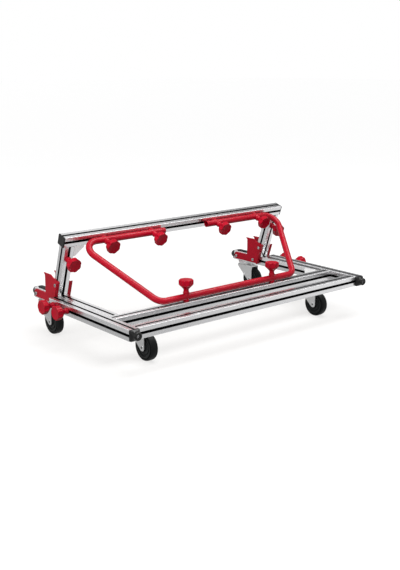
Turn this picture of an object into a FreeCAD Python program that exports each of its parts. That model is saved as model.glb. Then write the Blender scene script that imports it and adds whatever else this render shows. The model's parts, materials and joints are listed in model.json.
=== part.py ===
"""Slab transport cart: slotted aluminium frame on four swivel casters.

Run with the build command from this folder.  It writes one STEP file per
node into parts/.  Millimetres, +Z up, +X to the right, -Y to the front.
The origin is on the floor under the middle of the cart.
"""
import FreeCAD
import Part
import Sketcher
import math
import os
import re
from types import SimpleNamespace

V = FreeCAD.Vector
Rotation = FreeCAD.Rotation
Placement = FreeCAD.Placement
X_DIR = V(1, 0, 0)
Y_DIR = V(0, 1, 0)
Z_DIR = V(0, 0, 1)

# Driving sizes in millimetres, degrees for lean.
SIZES = {
    # slotted aluminium profile
    "profile": 40,
    "profile_round": 1.6,
    "slot_open": 8.2,
    "slot_lip": 4.5,
    "slot_wide": 20,
    "slot_floor": 9,
    "slot_deep": 12.25,
    "core_bore": 6.8,
    # plan of the frame
    "inner_centre": 520,
    "slide_gap": 0.4,
    "middle_setback": 134,
    "outer_length": 508,
    "bracket_clear": 12.8,
    "stub_reach": 154.5,
    "lean": 18.6,
    "post_rise": 211,
    "top_overhang": 4.5,
    # end caps and bumpers
    "cap_thick": 5,
    "cap_round": 2,
    "outer_cap": 3,
    "bumper_length": 28,
    "bumper_flange": 7,
    "bumper_taper": 16,
    "bumper_nose": 30,
    "bumper_round": 4,
    "bumper_hole": 7.2,
    "bumper_sink": 5,
    # brackets beside the posts
    "plate_thick": 4,
    "flange_wide": 15,
    "leg_low": 34,
    "leg_top": 3,
    "leg_rear": 147.5,
    "wing_rear": 63.5,
    "wing_high": 75,
    "beak": 8,
    "beak_drop": 9,
    "crest": 22.5,
    "knee_back": 3.5,
    "knee_high": 65,
    "front_high": 54,
    "leg_round": 12,
    "wing_round": 14,
    "notch_round": 6,
    "bend_round": 3.4,
    "leg_bolt": 133,
    "foot_bolt": 23.5,
    "post_bolt": 42,
    "bolt_hole": 8.8,
    # bolts, nuts and screws
    "bolt_head": 13,
    "bolt_head_high": 5,
    "bolt_socket": 6,
    "bolt_socket_deep": 3,
    "bolt_shank": 8,
    "nut_side": 12,
    "nut_thick": 5,
    "nut_gap": 0.3,
    "stud_tip": 1,
    "thread_gap": 0.05,
    "screw_head": 13,
    "screw_head_high": 8,
    "screw_socket": 6,
    "screw_socket_deep": 4,
    "screw_shank": 6.6,
    "screw_grip": 25,
    "end_head": 12,
    "end_head_high": 3.5,
    # corner gussets
    "gusset_leg": 62,
    "gusset_wide": 36,
    "gusset_foot": 6,
    "gusset_cheek": 4,
    "gusset_toe": 9,
    "gusset_hole": 33,
    "head_gusset_leg": 43,
    "head_gusset_toe": 8.5,
    "head_gusset_hole": 24,
    # slab seat pads on the rear stubs
    "pad_wide": 20,
    "pad_long": 84,
    "pad_thick": 4,
    "pad_inset": 8,
    "pad_round": 5,
    # brace tube
    "tube": 25,
    "tube_wall": 2,
    "tube_bend": 48,
    "tube_standoff": 4,
    "top_corner_reach": 118,
    "low_corner_reach": 121,
    "tube_tail": 56,
    "sleeve": 23,
    "sleeve_bore": 9,
    "seat_rise": 1,
    # star knobs
    "knob": 55,
    "knob_high": 51,
    "knob_head": 18,
    "knob_neck": 19,
    "knob_neck_high": 14,
    "knob_boss": 22,
    "knob_boss_high": 4,
    "knob_edge": 3,
    "knob_dish": 1.6,
    "knob_scallop": 40,
    "knob_bite": 3.4,
    "knob_gap": 0.2,
    "stud": 8,
    "top_knob_outer": 382,
    "top_knob_inner": 163,
    "low_knob": 217,
    "post_knob": 159,
    "side_knob_end": 29,
    "side_knob_pitch": 97,
    # swivel casters
    "caster_height": 126,
    "wheel": 100,
    "wheel_wide": 34,
    "trail": 45,
    "caster_inset": 60,
    "front_caster": 431,
    "head_disc": 70,
    "head_high": 14,
    "head_rim": 5,
    "head_waist": 58,
    "bearing_gap": 0.3,
    "kingpin": 12,
    "king_nut": 20,
    "king_nut_high": 5,
    "fork_sheet": 3,
    "fork_crown": 4,
    "fork_side_gap": 1,
    "fork_nose": 13,
    "fork_rear": 33,
    "fork_skirt": 10,
    "fork_bend": 2.4,
    "fork_disc": 66,
    "fork_rim": 4.5,
    "fork_press": 0.8,
    "fork_press_low": 15,
    "axle": 10,
    "axle_bore": 6,
    "axle_flange": 14,
    "axle_flange_thick": 1.2,
    "running_gap": 0.05,
    "hub_rim": 76,
    "hub_lip": 4,
    "hub_web": 20,
    "hub_boss": 26,
    "hub_step": 44,
    "tyre_wide": 30,
    "tyre_tread": 20,
    "tyre_shoulder": 4,
    "tyre_groove": 1.6,
    "bond_gap": 0.3,
    # one overrun for every through cut
    "overrun": 10,
}

# Sizes worked out from the driving ones, as formulas in the sheet.
DERIVED = {
    "half": "profile / 2",
    "rail_height": "caster_height + profile / 2",
    "foot_slope": "tan(lean * 1 deg)",
    "foot_stretch": "1 / cos(lean * 1 deg)",
    "lean_sine": "sin(lean * 1 deg)",
    "lean_cosine": "cos(lean * 1 deg)",
    "bracket_nose": "half * foot_stretch - leg_low * foot_slope",
    "post_setback": "outer_length + outer_cap + bracket_clear + bracket_nose",
    "inner_length": "post_setback - middle_setback - profile + stub_reach",
    "front_plane": "-(middle_setback + profile + inner_length) / 2",
    "outer_centre": "inner_centre + profile + slide_gap",
    "front_length": "2 * (outer_centre - half)",
    "middle_length": "2 * (inner_centre + half)",
    "top_length": "middle_length + 2 * top_overhang",
    "tube_top_corner": "top_knob_outer + top_corner_reach",
    "tube_low_corner": "low_knob + low_corner_reach",
    "tube_end": "top_knob_inner - tube_tail",
    "side_knob_rear": "outer_length - side_knob_end",
    "side_knob_front": "side_knob_rear - side_knob_pitch",
    "stud_reach": "slot_lip + nut_gap + nut_thick + stud_tip",
    "sleeve_reach": "tube_standoff + tube + seat_rise",
    "crown_top": "caster_height - head_high - bearing_gap - wheel / 2",
    "fork_inside": "wheel_wide + 2 * fork_side_gap",
    "fork_outside": "fork_inside + 2 * fork_sheet",
}

# Shares of the fork's axle end where its rear edge leaves the round.
TANGENT_SHARES = (0.667, 0.746)
# Shares of a screw head: its straight side, and its top as part of its width.
HEAD_SIDE_SHARE = 0.7
HEAD_TOP_SHARE = 0.84
KNOB_LOBES = 7
SLOTS = 4

doc = FreeCAD.newDocument("slab_cart")
sheet = doc.addObject("Spreadsheet::Sheet", "Sizes")


def fill_sheet():
    """Write every size and formula into the sheet, one row each."""
    rows = [(name, str(value)) for name, value in SIZES.items()]
    rows += [(name, "=" + formula) for name, formula in DERIVED.items()]
    for row, (name, text) in enumerate(rows, start=1):
        sheet.set("A%d" % row, name)
        sheet.set("B%d" % row, text)
        sheet.setAlias("B%d" % row, name)
    doc.recompute()
    return SimpleNamespace(**{name: float(getattr(sheet, name)) for name, _ in rows})


d = fill_sheet()
WORDS = re.compile(r"\b(%s)\b" % "|".join(list(SIZES) + list(DERIVED)))


def bound(text):
    """Turn words such as profile / 2 into an expression on the sheet."""
    return WORDS.sub(lambda word: "Sizes." + word.group(1), text)


def number(text):
    """Value of such an expression."""
    return float(sheet.evalExpression(bound(text)))


# Building blocks
def new_body(label):
    body = doc.addObject("PartDesign::Body", label)
    body.Label = label
    return body


def origin_part(body, role):
    for feature in body.Origin.OriginFeatures:
        if feature.Role == role:
            return feature
    raise RuntimeError("no origin feature " + role)


def new_sketch(body, name, plane, lift=None):
    sketch = body.newObject("Sketcher::SketchObject", name)
    sketch.AttachmentSupport = [(origin_part(body, plane), "")]
    sketch.MapMode = "FlatFace"
    if lift:
        sketch.setExpression(".AttachmentOffset.Base.z", bound(lift))
    return sketch


def pin_point(sketch, geometry, vertex, across, along):
    """Bind one sketch point to two expressions."""
    for kind, text in (("DistanceX", across), ("DistanceY", along)):
        constraint = Sketcher.Constraint(kind, -1, 1, geometry, vertex, number(text))
        index = sketch.addConstraint(constraint)
        sketch.setExpression("Constraints[%d]" % index, bound(text))


def outline(body, name, plane, corners, lift=None):
    """Closed polygon whose corners are pairs of expressions."""
    sketch = new_sketch(body, name, plane, lift)
    points = [V(number(across), number(along), 0) for across, along in corners]
    count = len(points)
    for i in range(count):
        sketch.addGeometry(Part.LineSegment(points[i], points[(i + 1) % count]), False)
    for i in range(count):
        sketch.addConstraint(Sketcher.Constraint("Coincident", i, 2, (i + 1) % count, 1))
    for i, (across, along) in enumerate(corners):
        pin_point(sketch, i, 1, across, along)
    return sketch


def circles(body, name, plane, rounds, lift=None):
    """Circles given as (across, along, diameter) expressions."""
    sketch = new_sketch(body, name, plane, lift)
    for i, (across, along, diameter) in enumerate(rounds):
        centre = V(number(across), number(along), 0)
        radius = number(diameter) / 2
        sketch.addGeometry(Part.Circle(centre, Z_DIR, radius), False)
        pin_point(sketch, i, 3, across, along)
        index = sketch.addConstraint(Sketcher.Constraint("Radius", i, radius))
        sketch.setExpression("Constraints[%d]" % index, bound("(%s) / 2" % diameter))
    return sketch


def rectangle(across, along):
    """Four corners centred on the sketch origin."""
    a = "(%s) / 2" % across
    b = "(%s) / 2" % along
    return [("-" + a, "-" + b), (a, "-" + b), (a, b), ("-" + a, b)]


def settle(body, feature):
    """Make a feature the body's last one and see that it worked."""
    body.Tip = feature
    doc.recompute()
    if "Invalid" in feature.State or "Error" in feature.State:
        raise RuntimeError("%s failed" % feature.Name)
    return feature


def pad(body, sketch, length, middle=False, back=False):
    feature = body.newObject("PartDesign::Pad", sketch.Name + "_pad")
    feature.Profile = sketch
    feature.setExpression("Length", bound(length))
    feature.Midplane = middle
    feature.Reversed = back
    return settle(body, feature)


def cut(body, sketch, length=None, middle=True, back=False):
    """Pocket, right through both ways unless a length is given."""
    before = body.Shape.Volume
    feature = body.newObject("PartDesign::Pocket", sketch.Name + "_cut")
    feature.Profile = sketch
    if length:
        feature.setExpression("Length", bound(length))
    else:
        feature.Type = "ThroughAll"
    feature.Midplane = middle
    feature.Reversed = back
    settle(body, feature)
    if not body.Shape.Volume < before:
        raise RuntimeError("cut %s removes nothing" % sketch.Name)
    return feature


def polar(body, feature, count):
    pattern = body.newObject("PartDesign::PolarPattern", feature.Name + "_ring")
    pattern.Originals = [feature]
    pattern.Axis = (origin_part(body, "Z_Axis"), [""])
    pattern.Angle = 360
    pattern.Occurrences = count
    return settle(body, pattern)


def turn(body, name, corners):
    """Solid of revolution about Z from (radius, height) corners."""
    sketch = outline(body, name, "XZ_Plane", corners)
    feature = body.newObject("PartDesign::Revolution", name + "_turn")
    feature.Profile = sketch
    feature.ReferenceAxis = (origin_part(body, "Z_Axis"), [""])
    feature.Angle = 360
    return settle(body, feature)


def edges_at(shape, direction, points):
    """Names of straight edges along a direction whose middles match."""
    found = []
    for target in points:
        best = None
        for index, edge in enumerate(shape.Edges, start=1):
            if not isinstance(edge.Curve, Part.Line):
                continue
            run = edge.Vertexes[-1].Point - edge.Vertexes[0].Point
            if run.cross(direction).Length > 1e-4 * run.Length:
                continue
            offset = edge.CenterOfMass - target
            gap = offset.cross(direction).Length
            if best is None or gap < best[0]:
                best = (gap, "Edge%d" % index)
        if best is None or best[0] > 1e-3:
            raise RuntimeError("no edge near %s" % target)
        found.append(best[1])
    return found


def fillet(body, name, direction, points, radius):
    """Round the straight edges through the given points."""
    base = body.Tip
    names = edges_at(base.Shape, direction, points)
    feature = body.newObject("PartDesign::Fillet", name)
    feature.Base = (base, names)
    feature.setExpression("Radius", bound(radius))
    return settle(body, feature)


# Placing and grouping
NODES = []


def keep(item, label, place=None):
    """Name an object as a node and put it in place."""
    item.Label = label
    if place is not None:
        item.Placement = place
    NODES.append(item)
    return item


def copy_of(source, label, place):
    """A node that is a placed copy of a pattern piece."""
    link = doc.addObject("App::Link", label)
    link.LinkedObject = source
    return keep(link, label, place)


def group(label, members):
    """One node of several separate solids: (pattern piece, placement)."""
    links = []
    for index, (source, place) in enumerate(members):
        link = doc.addObject("App::Link", "%s_piece_%d" % (label, index))
        link.LinkedObject = source
        link.Placement = place
        links.append(link)
    compound = doc.addObject("Part::Compound", label)
    compound.Links = links
    return keep(compound, label)


def mirror_x(source, label):
    mirror = doc.addObject("Part::Mirroring", label)
    mirror.Source = source
    mirror.Normal = X_DIR
    mirror.Base = V(0, 0, 0)
    doc.recompute()
    return mirror


def at(x, y, z, rotation=Rotation()):
    return Placement(V(x, y, z), rotation)


def lifted(place, rise):
    """The same placement moved along its own Z."""
    return place.multiply(Placement(V(0, 0, rise), Rotation()))


TO_RIGHT = Rotation(Y_DIR, 90)
TO_LEFT = Rotation(Y_DIR, -90)
TO_FRONT = Rotation(X_DIR, 90)
TO_REAR = Rotation(X_DIR, -90)
LEAN = Rotation(X_DIR, d.lean)
LEAN_FRONT = Rotation(X_DIR, 90 + d.lean)
SIDES = (("left", -1), ("right", 1))
UP = V(0, -d.lean_sine, d.lean_cosine)
AHEAD = V(0, -d.lean_cosine, -d.lean_sine)

# Places used more than once
RAIL_Z = d.rail_height
RAIL_TOP = d.rail_height + d.half
FRONT_Y = d.front_plane
MIDDLE_Y = FRONT_Y + d.middle_setback + d.half
INNER_Y = FRONT_Y + d.middle_setback + d.profile
REAR_Y = INNER_Y + d.inner_length
FOOT = V(0, FRONT_Y + d.post_setback, RAIL_TOP)
HEAD_ALONG = d.post_rise + d.half


def on_post(x, along, ahead=0):
    """Point by its run up the post and its reach in front of it."""
    point = FOOT + UP * along + AHEAD * ahead
    return V(x, point.y, point.z)


def outward(side):
    return TO_RIGHT if side > 0 else TO_LEFT


# Slotted rails
def slotted(label, length, start="0 * profile"):
    """Rounded square bar with a slot in each face and a core bore."""
    body = new_body(label)
    bar = outline(body, label + "_bar", "XY_Plane", rectangle("profile", "profile"), start)
    pad(body, bar, length)
    corners = [V(x, y, 0) for x in (-d.half, d.half) for y in (-d.half, d.half)]
    fillet(body, label + "_edges", Z_DIR, corners, "profile_round")
    lip = "half - slot_lip"
    knee = "half - slot_deep + (slot_wide - slot_floor) / 2"
    floor = "half - slot_deep"
    right = [
        ("slot_floor / 2", floor),
        ("slot_wide / 2", knee),
        ("slot_wide / 2", lip),
        ("slot_open / 2", lip),
        ("slot_open / 2", "half + overrun"),
    ]
    left = [("-" + across, along) for across, along in reversed(right)]
    slot = outline(body, label + "_slot", "XY_Plane", right + left)
    polar(body, cut(body, slot), SLOTS)
    core = circles(body, label + "_core", "XY_Plane", [("0", "0", "core_bore")])
    cut(body, core)
    return body


def build_rails():
    keep(
        slotted("front_rail", "front_length"), "front_rail",
        at(-d.front_length / 2, FRONT_Y + d.half, RAIL_Z, TO_RIGHT),
    )
    keep(
        slotted("middle_rail", "middle_length"), "middle_rail",
        at(-d.middle_length / 2, MIDDLE_Y, RAIL_Z, TO_RIGHT),
    )
    top = on_post(-d.top_length / 2, HEAD_ALONG)
    keep(
        slotted("top_rail", "top_length"), "top_rail",
        Placement(top, LEAN.multiply(TO_RIGHT)),
    )
    for name, side in SIDES:
        label = "inner_rail_" + name
        keep(
            slotted(label, "inner_length"), label,
            at(side * d.inner_centre, INNER_Y, RAIL_Z, TO_REAR),
        )
        label = "outer_rail_" + name
        body = slotted(label, "outer_length")
        holes = [("0", reach, "sleeve_bore") for reach in ("side_knob_front", "side_knob_rear")]
        cut(body, circles(body, label + "_clamp", "YZ_Plane", holes))
        keep(body, label, at(side * d.outer_centre, FRONT_Y, RAIL_Z, TO_REAR))
        label = "post_" + name
        body = slotted(label, "post_rise + half * foot_slope", "-half * foot_slope")
        wide = "(half + overrun)"
        mitre = [
            ("-" + wide, wide + " * foot_slope"),
            ("-" + wide, "-2 * " + wide),
            (wide, "-2 * " + wide),
            (wide, "-" + wide + " * foot_slope"),
        ]
        cut(body, outline(body, label + "_mitre", "YZ_Plane", mitre))
        keep(body, label, Placement(on_post(side * d.inner_centre, 0), LEAN))


# Bolts, nuts and screws
def headed(label, head, high, shank, reach, socket=None, deep=None):
    """Screw with its seat at Z 0, head above and shank below."""
    body = new_body(label)
    turn(body, label + "_form", [
        ("0", "-(%s)" % reach),
        ("%s / 2" % shank, "-(%s)" % reach),
        ("%s / 2" % shank, "0"),
        ("%s / 2" % head, "0"),
        ("%s / 2" % head, "%s * %s" % (high, HEAD_SIDE_SHARE)),
        ("%s / 2 * %s" % (head, HEAD_TOP_SHARE), high),
        ("0", high),
    ])
    if socket:
        flat = "%s / 2" % socket
        point = "%s / sqrt(3)" % socket
        hexagon = [
            (point, "0"), (point + " / 2", flat), ("-" + point + " / 2", flat),
            ("-" + point, "0"), ("-" + point + " / 2", "-" + flat), (point + " / 2", "-" + flat),
        ]
        sketch = outline(body, label + "_socket", "XY_Plane", hexagon, high)
        cut(body, sketch, deep, middle=False)
    return body


def slot_nut(label):
    """Square nut that sits under the lips of a slot; Z 0 is the rail face."""
    body = new_body(label)
    square = rectangle("nut_side", "nut_side")
    block = outline(body, label + "_block", "XY_Plane", square, "-slot_lip - nut_gap")
    pad(body, block, "nut_thick", back=True)
    cut(body, circles(body, label + "_thread", "XY_Plane", [("0", "0", "stud + 2 * thread_gap")]))
    return body


# Brackets beside the posts
def front_edge(height):
    """Where the front of the post lies at a height above the rail top."""
    return "-half * foot_stretch - (%s) * foot_slope" % height


def bracket():
    """Right-hand bracket: plate on X 0, flange turned out to +X."""
    body = new_body("bracket_pattern")
    corners = [
        (front_edge("-leg_low"), "-leg_low"),
        ("leg_rear", "-leg_low"),
        ("leg_rear", "-leg_top"),
        ("wing_rear", "-leg_top"),
        ("wing_rear", "wing_high - beak_drop"),
        ("wing_rear + beak", "wing_high"),
        ("crest", "wing_high"),
        ("knee_back", "knee_high"),
        (front_edge("front_high"), "front_high"),
    ]
    pad(body, outline(body, "bracket_plate", "YZ_Plane", corners), "plate_thick")
    places = [V(0, number(across), number(along)) for across, along in corners]
    fillet(body, "leg_end", X_DIR, places[1:3], "leg_round")
    fillet(body, "notch", X_DIR, places[3:4], "notch_round")
    fillet(body, "wing_crest", X_DIR, places[6:8], "wing_round")
    back = " + plate_thick * foot_stretch"
    strip = [
        (front_edge("-leg_low"), "-leg_low"),
        (front_edge("-leg_low") + back, "-leg_low"),
        (front_edge("front_high") + back, "front_high"),
        (front_edge("front_high"), "front_high"),
    ]
    pad(body, outline(body, "bracket_flange", "YZ_Plane", strip), "flange_wide")
    fillet(body, "flange_bend", UP, [places[0]], "bend_round")
    holes = [
        ("leg_bolt", "-half", "bolt_hole"),
        ("foot_bolt", "-half", "bolt_hole"),
        ("-post_bolt * lean_sine", "post_bolt * lean_cosine", "bolt_hole"),
    ]
    cut(body, circles(body, "bracket_holes", "YZ_Plane", holes))
    return body


def build_brackets(bolt, nut):
    right_hand = bracket()
    left_hand = mirror_x(right_hand, "bracket_mirrored")
    bolts = []
    nuts = []
    for name, side in SIDES:
        for reach, way in (("outer", side), ("inner", -side)):
            face = side * d.inner_centre + way * d.half
            hand = right_hand if way > 0 else left_hand
            copy_of(hand, "bracket_%s_%s" % (name, reach), at(face, FOOT.y, FOOT.z))
            holes = [V(face, FOOT.y + run, RAIL_Z) for run in (d.leg_bolt, d.foot_bolt)]
            holes.append(on_post(face, d.post_bolt))
            for hole in holes:
                place = Placement(hole, outward(way))
                bolts.append((bolt, lifted(place, d.plate_thick)))
                nuts.append((nut, place))
    group("bracket_bolts", bolts)
    return nuts


# Corner gussets
def gusset(name):
    """Hollow corner piece with its corner on Z and feet on X and Y."""
    leg, toe, hole = name + "_leg", name + "_toe", name + "_hole"
    body = new_body(name + "_pattern")
    shape = [("0", "0"), (leg, "0"), (leg, toe), (toe, leg), ("0", leg)]
    pad(body, outline(body, name + "_block", "XY_Plane", shape), "gusset_wide", middle=True)
    far = leg + " + overrun"
    inside = [("gusset_foot", "gusset_foot"), (far, "gusset_foot"), (far, far), ("gusset_foot", far)]
    hollow = outline(body, name + "_hollow", "XY_Plane", inside)
    cut(body, hollow, "gusset_wide - 2 * gusset_cheek")
    for count, plane in (("one", "XZ_Plane"), ("two", "YZ_Plane")):
        bore = circles(body, "%s_bore_%s" % (name, count), plane, [(hole, "0", "bolt_hole")])
        cut(body, bore, "2 * (gusset_foot + slot_lip)")
    return body


def build_gussets(bolt, nut):
    quarter = Rotation(Z_DIR, 90)
    hang = Rotation(X_DIR, d.lean - 90)
    inside = d.inner_centre - d.half
    base = [at(-inside, INNER_Y, RAIL_Z), at(inside, INNER_Y, RAIL_Z, quarter)]
    head = [
        Placement(on_post(-inside, d.post_rise), hang),
        Placement(on_post(inside, d.post_rise), hang.multiply(quarter)),
    ]
    screws = []
    nuts = []
    for label, name, hole, places in (
        ("base_gussets", "gusset", d.gusset_hole, base),
        ("head_gussets", "head_gusset", d.head_gusset_hole, head),
    ):
        piece = gusset(name)
        group(label, [(piece, place) for place in places])
        for place in places:
            for point, way in ((V(hole, 0, 0), TO_REAR), (V(0, hole, 0), TO_RIGHT)):
                face = place.multiply(Placement(point, way))
                screws.append((bolt, lifted(face, d.gusset_foot)))
                nuts.append((nut, face))
    group("gusset_screws", screws)
    return nuts


# Caps, bumpers and pads
def square_cap(label, thick):
    body = new_body(label)
    pad(body, outline(body, label + "_face", "XY_Plane", rectangle("profile", "profile")), thick)
    corners = [V(x, y, 0) for x in (-d.half, d.half) for y in (-d.half, d.half)]
    fillet(body, label + "_edges", Z_DIR, corners, "cap_round")
    return body


def bumper():
    """Square flange drawn in to a round nose with a sunk screw."""
    body = new_body("bumper_pattern")
    pad(body, outline(body, "bumper_base", "XY_Plane", rectangle("profile", "profile")), "bumper_flange")
    corners = [V(x, y, 0) for x in (-d.half, d.half) for y in (-d.half, d.half)]
    fillet(body, "bumper_edges", Z_DIR, corners, "bumper_round")
    square = outline(
        body, "bumper_root", "XY_Plane",
        rectangle("profile - bumper_round", "profile - bumper_round"), "bumper_flange",
    )
    nose = circles(body, "bumper_neck", "XY_Plane", [("0", "0", "bumper_nose")], "bumper_taper")
    loft = body.newObject("PartDesign::AdditiveLoft", "bumper_draw")
    loft.Profile = square
    loft.Sections = [nose]
    loft.Ruled = True
    settle(body, loft)
    turn(body, "bumper_tip", [
        ("0", "bumper_flange"),
        ("bumper_hole / 2 + bumper_round", "bumper_flange"),
        ("bumper_nose / 2", "bumper_taper"),
        ("bumper_nose / 2", "bumper_length - bumper_round"),
        ("bumper_nose / 2 - bumper_round / 3", "bumper_length - bumper_round / 3"),
        ("bumper_nose / 2 - bumper_round", "bumper_length"),
        ("0", "bumper_length"),
    ])
    sink = circles(
        body, "bumper_sink", "XY_Plane",
        [("0", "0", "screw_head + 2 * running_gap + 2 * nut_gap")], "bumper_length",
    )
    cut(body, sink, "screw_head_high + bumper_sink", middle=False)
    cut(body, circles(body, "bumper_bore", "XY_Plane", [("0", "0", "bumper_hole")]))
    return body


def build_ends(screw):
    nose = bumper()
    seat = d.bumper_length - d.screw_head_high - d.bumper_sink
    front = [at(side * d.outer_centre, FRONT_Y, RAIL_Z, TO_FRONT) for _, side in SIDES]
    rear = [at(side * d.inner_centre, REAR_Y, RAIL_Z, TO_REAR) for _, side in SIDES]
    for label, places in (("front", front), ("rear", rear)):
        group(label + "_bumpers", [(nose, place) for place in places])
        group(label + "_bumper_screws", [(screw, lifted(place, seat)) for place in places])
    cap = square_cap("top_cap_pattern", "cap_thick")
    caps = []
    for _, side in SIDES:
        end = on_post(side * d.top_length / 2, HEAD_ALONG)
        caps.append((cap, Placement(end, LEAN.multiply(outward(side)))))
    group("top_rail_caps", caps)
    lid = square_cap("outer_cap_pattern", "outer_cap")
    stop = FRONT_Y + d.outer_length
    group("outer_rail_caps", [
        (lid, at(side * d.outer_centre, stop, RAIL_Z, TO_REAR)) for _, side in SIDES
    ])
    body = new_body("pad_pattern")
    pad(body, outline(body, "pad_face", "XY_Plane", rectangle("pad_wide", "pad_long")), "pad_thick")
    corners = [V(x, y, 0) for x in (-d.pad_wide / 2, d.pad_wide / 2)
               for y in (-d.pad_long / 2, d.pad_long / 2)]
    fillet(body, "pad_edges", Z_DIR, corners, "pad_round")
    middle = REAR_Y - d.pad_inset - d.pad_long / 2
    group("seat_pads", [(body, at(side * d.inner_centre, middle, RAIL_TOP)) for _, side in SIDES])


def build_end_screws():
    """Screws in the core bores, their heads held in the next rail's slot."""
    screw = headed(
        "end_screw_pattern", "end_head", "end_head_high", "screw_shank",
        "slot_lip + nut_gap + screw_grip",
    )
    depth = -(d.slot_lip + d.nut_gap)
    front = []
    base = []
    for _, side in SIDES:
        face = at(side * (d.outer_centre - d.half), FRONT_Y + d.half, RAIL_Z, outward(side))
        front.append((screw, lifted(face, -depth)))
        face = at(side * d.inner_centre, INNER_Y, RAIL_Z, TO_FRONT)
        base.append((screw, lifted(face, -depth)))
        face = Placement(on_post(side * d.inner_centre, d.post_rise), LEAN)
        base.append((screw, lifted(face, -depth)))
    group("front_end_screws", front)
    group("base_end_screws", base)


# Brace
def brace_frame():
    """Lower run centre, upper run centre, slope and length of the plane."""
    low = V(0, MIDDLE_Y, RAIL_TOP + d.tube_standoff + d.tube / 2)
    high = on_post(0, HEAD_ALONG, d.half + d.tube_standoff + d.tube / 2)
    span = high - low
    return low, high, math.degrees(math.atan2(span.z, span.y)), span.Length


def brace_path(length):
    """Straight runs joined by tangent arcs, as one wire on the body's XY plane."""
    knots = [
        V(-d.tube_end, length, 0), V(-d.tube_top_corner, length, 0),
        V(-d.tube_low_corner, 0, 0), V(d.tube_low_corner, 0, 0),
        V(d.tube_top_corner, length, 0), V(d.tube_end, length, 0),
    ]
    pieces = []
    total = 0.0
    start = knots[0]
    for before, corner, after in zip(knots, knots[1:], knots[2:]):
        to_back = (before - corner).normalize()
        to_next = (after - corner).normalize()
        half_angle = to_back.getAngle(to_next) / 2
        set_back = d.tube_bend / math.tan(half_angle)
        first = corner + to_back * set_back
        last = corner + to_next * set_back
        inward = (to_back + to_next).normalize()
        belly = corner + inward * (d.tube_bend / math.sin(half_angle) - d.tube_bend)
        pieces.append(Part.LineSegment(start, first))
        pieces.append(Part.Arc(first, belly, last))
        total += (first - start).Length + d.tube_bend * (math.pi - 2 * half_angle)
        start = last
    pieces.append(Part.LineSegment(start, knots[-1]))
    total += (knots[-1] - start).Length
    return pieces, total


def build_brace(nut):
    low, high, slope, length = brace_frame()
    body = new_body("brace_tube")
    pieces, total = brace_path(length)
    path = new_sketch(body, "brace_path", "XY_Plane")
    for piece in pieces:
        path.addGeometry(piece, False)
    ring = new_sketch(body, "brace_section", "YZ_Plane", "-tube_end")
    for diameter in ("tube", "tube - 2 * tube_wall"):
        radius = number(diameter) / 2
        index = ring.addGeometry(Part.Circle(V(length, 0, 0), Z_DIR, radius), False)
        bind = ring.addConstraint(Sketcher.Constraint("Radius", index, radius))
        ring.setExpression("Constraints[%d]" % bind, bound("(%s) / 2" % diameter))
    sweep = body.newObject("PartDesign::AdditivePipe", "brace_sweep")
    sweep.Profile = ring
    sweep.Spine = path
    settle(body, sweep)
    inner = d.tube / 2 - d.tube_wall
    section = math.pi * ((d.tube / 2) ** 2 - inner ** 2)
    if abs(sweep.Shape.Volume - section * total) > section:
        raise RuntimeError("tube volume is off its path")
    top_turn = 90 + d.lean - slope
    low_spots = (-d.low_knob, d.low_knob)
    top_spots = (-d.top_knob_outer, -d.top_knob_inner, d.top_knob_inner, d.top_knob_outer)
    runs = [("low", 0, -slope, low_spots), ("top", length, top_turn, top_spots)]
    for name, across, turn_by, spots in runs:
        tilt = Rotation(X_DIR, turn_by)
        seat = tilt.multVec(V(0, 0, -(d.tube / 2 + d.tube_standoff - d.slide_gap)))
        lengths = {"sleeve": "sleeve_reach - slide_gap", "sleeve_bore": None}
        for size, reach in lengths.items():
            sketch = new_sketch(body, "%s_%s" % (name, size), "XY_Plane")
            sketch.AttachmentOffset = Placement(V(0, across, 0) + seat, tilt)
            radius = number(size) / 2
            for spot in spots:
                index = sketch.addGeometry(Part.Circle(V(spot, 0, 0), Z_DIR, radius), False)
                bind = sketch.addConstraint(Sketcher.Constraint("Radius", index, radius))
                sketch.setExpression("Constraints[%d]" % bind, bound("%s / 2" % size))
            if reach:
                pad(body, sketch, reach)
            else:
                cut(body, sketch, "2 * (sleeve_reach + overrun)")
    keep(body, "brace_tube", Placement(low, Rotation(X_DIR, slope)))
    faces = [at(spot, MIDDLE_Y, RAIL_TOP) for spot in low_spots]
    faces += [Placement(on_post(spot, HEAD_ALONG, d.half), LEAN_FRONT) for spot in top_spots]
    group("brace_nuts", [(nut, face) for face in faces])
    return faces


# Knobs
def knob(label, stud):
    """Seven-lobed knob on a neck; its seat is Z 0 and its stud points down."""
    body = new_body(label)
    underside = "knob_high - knob_head"
    turn(body, label + "_form", [
        ("0", "-(%s)" % stud),
        ("stud / 2", "-(%s)" % stud),
        ("stud / 2", "0"),
        ("knob_boss / 2", "0"),
        ("knob_boss / 2", "knob_boss_high"),
        ("knob_neck / 2", "2 * knob_boss_high"),
        ("knob_neck / 2", "knob_neck_high"),
        ("knob / 2 - knob_edge / 2", underside + " - knob_edge / 3"),
        ("knob / 2", underside + " + knob_edge / 2"),
        ("knob / 2", "knob_high - knob_edge"),
        ("knob / 2 - knob_edge / 3", "knob_high - knob_edge / 3"),
        ("knob / 2 - knob_edge", "knob_high"),
        ("knob / 2 - knob_bite - knob_edge", "knob_high"),
        ("0", "knob_high - knob_dish"),
    ])
    bite = circles(
        body, label + "_bite", "XY_Plane",
        [("knob / 2 - knob_bite + knob_scallop / 2", "0", "knob_scallop")],
    )
    polar(body, cut(body, bite), KNOB_LOBES)
    return body


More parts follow.
